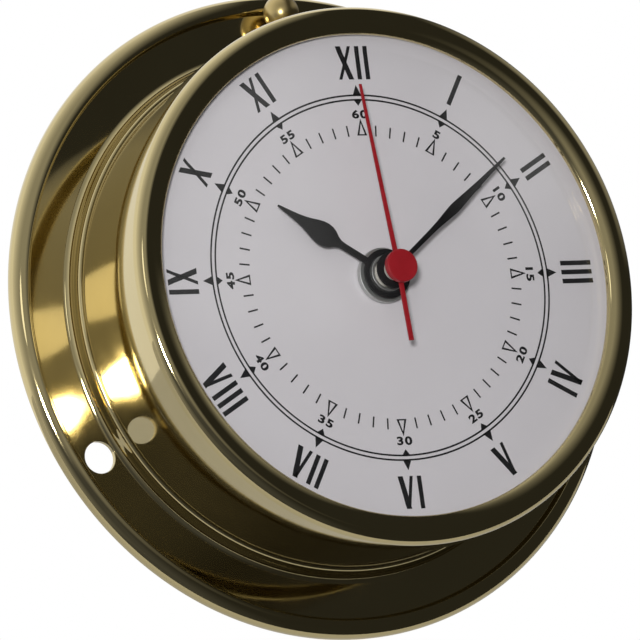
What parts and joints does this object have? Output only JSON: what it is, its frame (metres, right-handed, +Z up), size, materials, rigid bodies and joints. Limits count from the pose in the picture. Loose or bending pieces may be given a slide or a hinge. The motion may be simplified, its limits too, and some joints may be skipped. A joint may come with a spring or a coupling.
{
  "type": "ships clock",
  "caption": "Round brass ships clock: screwed wall flange, drum locked in its collar by a ball-headed screw, domed glass, printed dial, three hands and a quartz movement with its gear train.",
  "frame": {"origin": "on the clock's axis, in the plane of the flange's flat back that lies on the wall", "axes": "+Z up through 12 o'clock, +X to 3 o'clock, -Y out of the dial towards the reader, +Y into the wall"},
  "size_m": [0.125, 0.0439, 0.125],
  "materials": {
    "polished_brass": "polished and lacquered",
    "clear_glass": "clear, polished",
    "white_dial": "matt white, printed",
    "nickel": "nickel plated",
    "black_rubber": "matt",
    "black_hand": "satin black paint",
    "red_hand": "satin red paint",
    "black_plastic": "moulded, fine texture",
    "white_plastic": "moulded, smooth",
    "cell_jacket": "plain printed jacket",
    "magnet": "sintered",
    "copper_wire": "enamelled wire, wound",
    "green_board": "solder mask"
  },
  "bodies": {
    "case": {"mounting_flange": "polished_brass", "case_drum": "polished_brass", "bezel": "polished_brass", "glass": "clear_glass", "glass_retaining_ring": "polished_brass", "dial": "white_dial", "dial_nut": "nickel", "dial_washer": "black_rubber", "movement_front_shell": "black_plastic", "movement_rear_cover": "black_plastic", "aa_cell": "cell_jacket", "contact_positive": "nickel", "contact_negative": "nickel", "stator": "nickel", "coil_core": "nickel", "coil_bobbin": "white_plastic", "coil_winding": "copper_wire", "circuit_board": "green_board", "crystal_can": "nickel"},
    "lock": {"lock_screw": "polished_brass"},
    "rotor_body": {"rotor": "white_plastic", "rotor_magnet": "magnet"},
    "intermediate": {"intermediate_wheel": "white_plastic"},
    "seconds": {"seconds_wheel": "white_plastic", "second_hand": "red_hand", "second_hand_cap": "red_hand"},
    "third": {"third_wheel": "white_plastic"},
    "minutes": {"centre_wheel": "white_plastic", "minute_hand": "black_hand"},
    "setting": {"setting_wheel": "white_plastic", "setting_knob": "black_plastic"},
    "hours": {"hour_wheel": "white_plastic", "hour_hand": "black_hand", "hour_hand_bush": "nickel"}
  },
  "joints": [
    {"name": "minute_turn", "type": "hinge", "parent": "case", "child": "minutes", "pos_m": [0, -0.0235, 0], "axis": [0, 1, 0], "continuous": true},
    {"name": "hour_turn", "type": "hinge", "parent": "case", "child": "hours", "pos_m": [0, -0.0255, 0], "axis": [0, 1, 0], "continuous": true},
    {"name": "seconds_turn", "type": "hinge", "parent": "case", "child": "seconds", "pos_m": [0, -0.0185, 0], "axis": [0, 1, 0], "continuous": true},
    {"name": "third_turn", "type": "hinge", "parent": "case", "child": "third", "pos_m": [-0.0098, -0.0205, 0], "axis": [0, 1, 0], "continuous": true},
    {"name": "intermediate_turn", "type": "hinge", "parent": "case", "child": "intermediate", "pos_m": [-0.0017, -0.0175, 0.00965], "axis": [0, 1, 0], "continuous": true},
    {"name": "rotor_turn", "type": "hinge", "parent": "case", "child": "rotor_body", "pos_m": [-0.00794, -0.0155, 0.01325], "axis": [0, 1, 0], "continuous": true},
    {"name": "setting_turn", "type": "hinge", "parent": "case", "child": "setting", "pos_m": [0.00781, -0.0235, 0.00656], "axis": [0, 1, 0], "continuous": true},
    {"name": "lock_turn", "type": "hinge", "parent": "case", "child": "lock", "pos_m": [-0.00136, -0.0071, 0.05768], "axis": [-0.0236, 0, 0.9997], "range_deg": [0, 720]}
  ],
  "couplings": [
    {"joint": "hour_turn", "follows": "minute_turn", "ratio": 0.083333},
    {"joint": "seconds_turn", "follows": "minute_turn", "ratio": 60},
    {"joint": "third_turn", "follows": "minute_turn", "ratio": -8},
    {"joint": "intermediate_turn", "follows": "minute_turn", "ratio": -360},
    {"joint": "rotor_turn", "follows": "minute_turn", "ratio": 1800},
    {"joint": "setting_turn", "follows": "minute_turn", "ratio": -0.33333}
  ]
}
